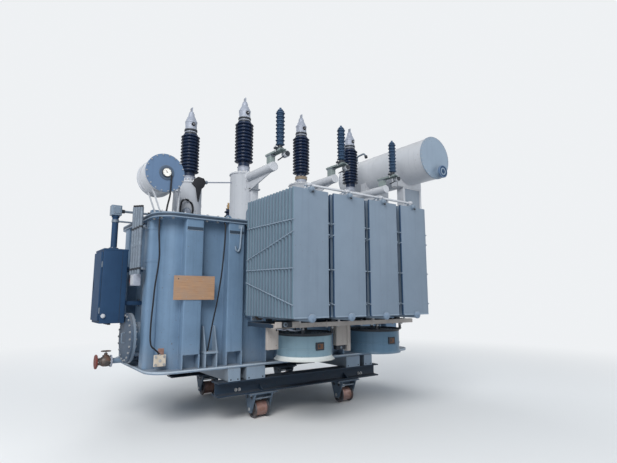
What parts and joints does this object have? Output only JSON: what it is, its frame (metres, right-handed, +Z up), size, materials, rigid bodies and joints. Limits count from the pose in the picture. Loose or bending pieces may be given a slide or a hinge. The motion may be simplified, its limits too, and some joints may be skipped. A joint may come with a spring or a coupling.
{
  "type": "oil-filled power transformer with side radiators, fans, bushings and rail wheels",
  "caption": "Steel power transformer with finned radiators and fans on both sides, ribbed bushings on turrets, an oil expansion drum, and flanged wheels under two beams.",
  "frame": {"origin": "centre of the bounding box in X and Y, on the floor under the wheel flanges", "axes": "+X along the tank towards the main expansion drum, -Y the front with the sign board, +Z up"},
  "size_m": [6.1403, 5.2, 5.355],
  "materials": {
    "tank_paint": "light blue grey gloss paint with dust and faint streaks",
    "radiator_paint": "light blue grey paint on pressed steel panels",
    "white_paint": "off white gloss paint",
    "frame_paint": "pale grey paint with dust",
    "fan_paint": "pale blue green paint",
    "beam_paint": "dark blue grey paint with dust on top",
    "bogie_steel": "grey painted steel plate, worn at the edges",
    "wheel_steel": "rusty cast steel with a bright rolled tread",
    "galvanised": "dull grey zinc coat",
    "valve_metal": "painted casting with a brown handle",
    "porcelain": "dark brown black glaze",
    "arrester_housing": "slate blue grey polymer",
    "board": "bare plywood",
    "cable_sheath": "black sheath"
  },
  "bodies": {
    "transformer": {"tank_shell": "tank_paint", "tank_base_plate": "tank_paint", "tank_cover": "tank_paint", "gas_relay": "tank_paint", "oil_pipe_upper": "tank_paint", "oil_pipe_lower": "tank_paint", "tap_changer_head": "tank_paint", "motor_cabinet": "tank_paint", "end_manhole": "tank_paint", "undercarriage_beam_front": "beam_paint", "undercarriage_beam_back": "beam_paint", "bogie_front_left": "bogie_steel", "fan_front_left": "fan_paint", "bogie_front_right": "bogie_steel", "fan_front_right": "fan_paint", "radiator_front_1": "radiator_paint", "radiator_front_2": "radiator_paint", "radiator_front_3": "radiator_paint", "radiator_front_4": "radiator_paint", "fan_frame_front": "frame_paint", "conservator_column_front": "white_paint", "bogie_back_left": "bogie_steel", "fan_back_left": "fan_paint", "bogie_back_right": "bogie_steel", "fan_back_right": "fan_paint", "radiator_back_1": "radiator_paint", "radiator_back_2": "radiator_paint", "radiator_back_3": "radiator_paint", "radiator_back_4": "radiator_paint", "fan_frame_back": "frame_paint", "conservator_column_back": "white_paint", "phase_turret_1": "white_paint", "phase_bushing_1": "porcelain", "surge_arrester_1": "arrester_housing", "low_voltage_bushing_1": "porcelain", "phase_turret_2": "white_paint", "phase_bushing_2": "porcelain", "surge_arrester_2": "arrester_housing", "low_voltage_bushing_2": "porcelain", "phase_turret_3": "white_paint", "phase_bushing_3": "porcelain", "surge_arrester_3": "arrester_housing", "low_voltage_bushing_3": "porcelain", "neutral_turret": "white_paint", "main_conservator": "white_paint", "tap_changer_drum": "white_paint", "neutral_bushing": "porcelain", "tap_changer_drive": "galvanised", "conduit_bundle": "galvanised", "drain_valve": "valve_metal", "sign_board": "board", "corner_lead": "cable_sheath", "rib_lead": "cable_sheath"},
    "wheel_front_left": {"wheel_front_left": "wheel_steel"},
    "wheel_front_right": {"wheel_front_right": "wheel_steel"},
    "wheel_back_left": {"wheel_back_left": "wheel_steel"},
    "wheel_back_right": {"wheel_back_right": "wheel_steel"}
  },
  "joints": [
    {"name": "wheel_front_left_roll", "type": "hinge", "parent": "transformer", "child": "wheel_front_left", "pos_m": [-0.90985, -0.95, 0.13], "axis": [1, 0, 0], "continuous": true},
    {"name": "wheel_front_right_roll", "type": "hinge", "parent": "transformer", "child": "wheel_front_right", "pos_m": [0.75015, -0.95, 0.13], "axis": [1, 0, 0], "continuous": true},
    {"name": "wheel_back_left_roll", "type": "hinge", "parent": "transformer", "child": "wheel_back_left", "pos_m": [-0.90985, 0.95, 0.13], "axis": [1, 0, 0], "continuous": true},
    {"name": "wheel_back_right_roll", "type": "hinge", "parent": "transformer", "child": "wheel_back_right", "pos_m": [0.75015, 0.95, 0.13], "axis": [1, 0, 0], "continuous": true}
  ]
}
